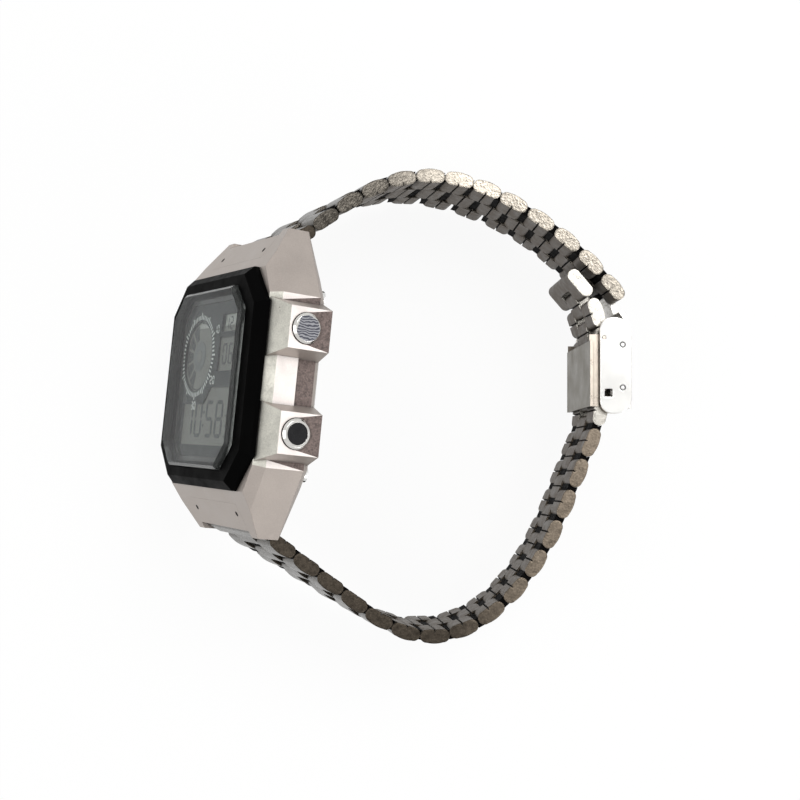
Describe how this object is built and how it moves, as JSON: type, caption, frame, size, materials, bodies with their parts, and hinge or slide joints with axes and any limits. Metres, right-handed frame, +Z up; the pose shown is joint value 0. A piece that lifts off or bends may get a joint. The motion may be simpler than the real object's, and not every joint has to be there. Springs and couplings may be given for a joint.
{
  "type": "digital wristwatch",
  "caption": "Digital wristwatch with push buttons, black eight-sided bezel and a folded-link steel bracelet closed by an adjustable fold-over clasp, lying on its side.",
  "frame": {"origin": "middle of the case back's outer face", "axes": "+Z up from the 9 o'clock side that it lies on; +Y to 12 o'clock; +X level, from the dial through the wrist to the clasp; the head leans 27.5 degrees so that its 3 o'clock side is toward the clasp"},
  "size_m": [0.0724, 0.0721, 0.0399],
  "materials": {
    "case_resin": "satin metallic resin",
    "bezel_black": "satin black",
    "crystal_clear": "clear",
    "seal": "matt",
    "mask_print": "printed dark grey",
    "lcd": "grey",
    "guide": "clear",
    "frame_black": "moulded",
    "board": "green",
    "cell": "satin",
    "spring_steel": "satin",
    "back_steel": "brushed",
    "screw_chrome": "polished",
    "buzzer_brass": "satin",
    "button_polished": "polished",
    "button_ringed": "polished ring, black centre",
    "link_steel": "satin inside, polished outside",
    "clasp_steel": "polished"
  },
  "bodies": {
    "case": {"case_body": "case_resin", "bezel": "bezel_black", "crystal": "crystal_clear", "crystal_gasket": "seal", "display_mask": "mask_print", "lcd_panel": "lcd", "light_guide": "guide", "module_frame": "frame_black", "circuit_board": "board", "battery_cell": "cell", "battery_clamp": "spring_steel", "case_back": "back_steel", "case_back_gasket": "seal", "case_back_screws": "screw_chrome", "buzzer_plate": "buzzer_brass", "button_springs": "spring_steel", "spring_bar_6": "spring_steel", "spring_bar_12": "spring_steel"},
    "upper_right_button": {"upper_right_button": "button_polished"},
    "lower_right_button": {"lower_right_button": "button_ringed"},
    "upper_left_button": {"upper_left_button": "button_polished"},
    "lower_left_button": {"lower_left_button": "button_ringed"},
    "end_link_6": {"end_link_6": "link_steel"},
    "lower_links_01": {"lower_links_01": "link_steel"},
    "lower_links_02": {"lower_links_02": "link_steel"},
    "lower_links_03": {"lower_links_03": "link_steel"},
    "lower_links_04": {"lower_links_04": "link_steel"},
    "lower_links_05": {"lower_links_05": "link_steel"},
    "lower_links_06": {"lower_links_06": "link_steel"},
    "lower_links_07": {"lower_links_07": "link_steel"},
    "lower_links_08": {"lower_links_08": "link_steel"},
    "lower_links_09": {"lower_links_09": "link_steel"},
    "lower_links_10": {"lower_links_10": "link_steel"},
    "lower_links_11": {"lower_links_11": "link_steel"},
    "lower_links_12": {"lower_links_12": "link_steel"},
    "lower_links_13": {"lower_links_13": "link_steel"},
    "lower_links_14": {"lower_links_14": "link_steel"},
    "lower_links_15": {"lower_links_15": "link_steel"},
    "clasp": {"clasp_body": "clasp_steel", "clamped_links": "link_steel", "clasp_pins": "spring_steel"},
    "locking_plate": {"locking_plate": "back_steel"},
    "tail_links_1": {"tail_links_1": "link_steel"},
    "tail_end": {"tail_end": "link_steel"},
    "clasp_blade": {"clasp_blade": "back_steel"},
    "clasp_cover": {"clasp_cover": "clasp_steel"},
    "upper_links_01": {"upper_links_01": "link_steel"},
    "upper_links_02": {"upper_links_02": "link_steel"},
    "upper_links_03": {"upper_links_03": "link_steel"},
    "upper_links_04": {"upper_links_04": "link_steel"},
    "upper_links_05": {"upper_links_05": "link_steel"},
    "upper_links_06": {"upper_links_06": "link_steel"},
    "upper_links_07": {"upper_links_07": "link_steel"},
    "upper_links_08": {"upper_links_08": "link_steel"},
    "upper_links_09": {"upper_links_09": "link_steel"},
    "upper_links_10": {"upper_links_10": "link_steel"},
    "upper_links_11": {"upper_links_11": "link_steel"},
    "upper_links_12": {"upper_links_12": "link_steel"},
    "end_link_12": {"end_link_12": "link_steel"}
  },
  "joints": [
    {"name": "upper_right_push", "type": "slide", "parent": "case", "child": "upper_right_button", "axis": [-0.4617, 0, -0.887], "range_m": [0, 0.0007], "stiffness_N_per_m": 1500, "springref_m": -0.0004, "deforming": ["button_springs"]},
    {"name": "lower_right_push", "type": "slide", "parent": "case", "child": "lower_right_button", "axis": [-0.4617, 0, -0.887], "range_m": [0, 0.0007], "stiffness_N_per_m": 1500, "springref_m": -0.0004, "deforming": ["button_springs"]},
    {"name": "upper_left_push", "type": "slide", "parent": "case", "child": "upper_left_button", "axis": [0.4617, 0, 0.887], "range_m": [0, 0.0007], "stiffness_N_per_m": 1500, "springref_m": -0.0004, "deforming": ["button_springs"]},
    {"name": "lower_left_push", "type": "slide", "parent": "case", "child": "lower_left_button", "axis": [0.4617, 0, 0.887], "range_m": [0, 0.0007], "stiffness_N_per_m": 1500, "springref_m": -0.0004, "deforming": ["button_springs"]},
    {"name": "end_6_turn", "type": "hinge", "parent": "case", "child": "end_link_6", "pos_m": [-0.00346, -0.0209, 0.0018], "axis": [0.4617, 0, 0.887], "range_deg": [-30, 0]},
    {"name": "lower_turn_01", "type": "hinge", "parent": "end_link_6", "child": "lower_links_01", "pos_m": [-0.00073, -0.02281, 0.00044], "axis": [0.4293, 0, 0.9032], "range_deg": [-5, 0]},
    {"name": "lower_turn_02", "type": "hinge", "parent": "lower_links_01", "child": "lower_links_02", "pos_m": [0.00337, -0.02525, -0.00137], "axis": [0.3807, 0, 0.9247], "range_deg": [-5, 0]},
    {"name": "lower_turn_03", "type": "hinge", "parent": "lower_links_02", "child": "lower_links_03", "pos_m": [0.00754, -0.02771, -0.00296], "axis": [0.3312, 0, 0.9436], "range_deg": [-5, 0]},
    {"name": "lower_turn_04", "type": "hinge", "parent": "lower_links_03", "child": "lower_links_04", "pos_m": [0.01178, -0.03019, -0.00433], "axis": [0.2808, 0, 0.9598], "range_deg": [-5, 0]},
    {"name": "lower_turn_05", "type": "hinge", "parent": "lower_links_04", "child": "lower_links_05", "pos_m": [0.01613, -0.0326, -0.00547], "axis": [0.2293, 0, 0.9734], "range_deg": [-6, 0]},
    {"name": "lower_turn_06", "type": "hinge", "parent": "lower_links_05", "child": "lower_links_06", "pos_m": [0.02075, -0.03451, -0.00643], "axis": [0.1744, 0, 0.9847], "range_deg": [-14, 0]},
    {"name": "lower_turn_07", "type": "hinge", "parent": "lower_links_06", "child": "lower_links_07", "pos_m": [0.02573, -0.03524, -0.00716], "axis": [0.1153, 0, 0.9933], "range_deg": [-20, 0]},
    {"name": "lower_turn_08", "type": "hinge", "parent": "lower_links_07", "child": "lower_links_08", "pos_m": [0.0307, -0.03428, -0.00759], "axis": [0.0563, 0, 0.9984], "range_deg": [-19, 0]},
    {"name": "lower_turn_09", "type": "hinge", "parent": "lower_links_08", "child": "lower_links_09", "pos_m": [0.03513, -0.03178, -0.00772], "axis": [0.0052, 0, 1], "range_deg": [-15, 0]},
    {"name": "lower_turn_10", "type": "hinge", "parent": "lower_links_09", "child": "lower_links_10", "pos_m": [0.03876, -0.02821, -0.00774], "axis": [0.0052, 0, 1], "range_deg": [-11, 0]},
    {"name": "lower_turn_11", "type": "hinge", "parent": "lower_links_10", "child": "lower_links_11", "pos_m": [0.04164, -0.024, -0.00775], "axis": [0.0052, 0, 1], "range_deg": [-8, 0]},
    {"name": "lower_turn_12", "type": "hinge", "parent": "lower_links_11", "child": "lower_links_12", "pos_m": [0.04389, -0.01943, -0.00776], "axis": [0.0052, 0, 1], "range_deg": [-6, 0]},
    {"name": "lower_turn_13", "type": "hinge", "parent": "lower_links_12", "child": "lower_links_13", "pos_m": [0.04567, -0.01465, -0.00777], "axis": [0.0052, 0, 1], "range_deg": [-5, 0]},
    {"name": "lower_turn_14", "type": "hinge", "parent": "lower_links_13", "child": "lower_links_14", "pos_m": [0.04719, -0.00978, -0.00778], "axis": [0.0052, 0, 1], "range_deg": [-5, 0]},
    {"name": "lower_turn_15", "type": "hinge", "parent": "lower_links_14", "child": "lower_links_15", "pos_m": [0.04869, -0.00491, -0.00779], "axis": [0.0052, 0, 1], "range_deg": [-5, 0]},
    {"name": "clasp_turn", "type": "hinge", "parent": "lower_links_15", "child": "clasp", "pos_m": [0.05001, 0.00001, -0.00779], "axis": [0.0052, 0, 1], "range_deg": [-8, 0]},
    {"name": "locking_plate_swing", "type": "hinge", "parent": "clasp", "child": "locking_plate", "pos_m": [0.04947, 0.01251, -0.00779], "axis": [-0.0052, -0.0004, -1], "range_deg": [0, 40]},
    {"name": "tail_turn_1", "type": "hinge", "parent": "clasp", "child": "tail_links_1", "pos_m": [0.04867, 0.01523, -0.00779], "axis": [0.0052, 0, 1], "range_deg": [0, 20]},
    {"name": "tail_end_turn", "type": "hinge", "parent": "tail_links_1", "child": "tail_end", "pos_m": [0.04627, 0.01971, -0.00778], "axis": [0.0052, 0, 1], "range_deg": [0, 20]},
    {"name": "clasp_open", "type": "hinge", "parent": "clasp", "child": "clasp_blade", "pos_m": [0.0524, 0.01167, -0.00781], "axis": [0.0052, 0.0004, 1], "range_deg": [0, 150]},
    {"name": "cover_unfold", "type": "hinge", "parent": "clasp_blade", "child": "clasp_cover", "pos_m": [0.05319, 0.0027, -0.00781], "axis": [0.0052, 0.0004, 1], "range_deg": [-180, 0]},
    {"name": "upper_turn_01", "type": "hinge", "parent": "clasp_cover", "child": "upper_links_01", "pos_m": [0.0513, 0.0197, -0.0078], "axis": [0.0052, 0, 1], "range_deg": [-14, 0]},
    {"name": "upper_turn_02", "type": "hinge", "parent": "upper_links_01", "child": "upper_links_02", "pos_m": [0.04764, 0.02326, -0.00778], "axis": [0.0052, 0, 1], "range_deg": [-6, 0]},
    {"name": "upper_turn_03", "type": "hinge", "parent": "upper_links_02", "child": "upper_links_03", "pos_m": [0.0437, 0.02648, -0.00776], "axis": [0.0052, 0, 1], "range_deg": [-6, 0]},
    {"name": "upper_turn_04", "type": "hinge", "parent": "upper_links_03", "child": "upper_links_04", "pos_m": [0.03944, 0.02929, -0.00774], "axis": [0.0052, 0, 1], "range_deg": [-7, 0]},
    {"name": "upper_turn_05", "type": "hinge", "parent": "upper_links_04", "child": "upper_links_05", "pos_m": [0.0349, 0.0316, -0.00772], "axis": [0.0065, 0, 1], "range_deg": [-7, 0]},
    {"name": "upper_turn_06", "type": "hinge", "parent": "upper_links_05", "child": "upper_links_06", "pos_m": [0.03012, 0.03337, -0.00755], "axis": [0.0632, 0, 0.998], "range_deg": [-8, 0]},
    {"name": "upper_turn_07", "type": "hinge", "parent": "upper_links_06", "child": "upper_links_07", "pos_m": [0.02516, 0.03446, -0.00709], "axis": [0.122, 0, 0.9925], "range_deg": [-11, 0]},
    {"name": "upper_turn_08", "type": "hinge", "parent": "upper_links_07", "child": "upper_links_08", "pos_m": [0.02013, 0.03467, -0.00632], "axis": [0.1817, 0, 0.9833], "range_deg": [-12, 0]},
    {"name": "upper_turn_09", "type": "hinge", "parent": "upper_links_08", "child": "upper_links_09", "pos_m": [0.01522, 0.03386, -0.00526], "axis": [0.2401, 0, 0.9708], "range_deg": [-14, 0]},
    {"name": "upper_turn_10", "type": "hinge", "parent": "upper_links_09", "child": "upper_links_10", "pos_m": [0.01066, 0.03197, -0.00399], "axis": [0.2941, 0, 0.9558], "range_deg": [-11, 0]},
    {"name": "upper_turn_11", "type": "hinge", "parent": "upper_links_10", "child": "upper_links_11", "pos_m": [0.00656, 0.02927, -0.00261], "axis": [0.3428, 0, 0.9394], "range_deg": [-6, 0]},
    {"name": "upper_turn_12", "type": "hinge", "parent": "upper_links_11", "child": "upper_links_12", "pos_m": [0.00281, 0.02615, -0.00114], "axis": [0.3874, 0, 0.9219], "range_deg": [-5, 0]},
    {"name": "end_12_turn", "type": "hinge", "parent": "case", "child": "end_link_12", "pos_m": [-0.00346, 0.0209, 0.0018], "axis": [0.4617, 0, 0.887], "range_deg": [0, 30]}
  ],
  "couplings": [
    {"joint": "cover_unfold", "follows": "clasp_open", "ratio": -1.2}
  ]
}
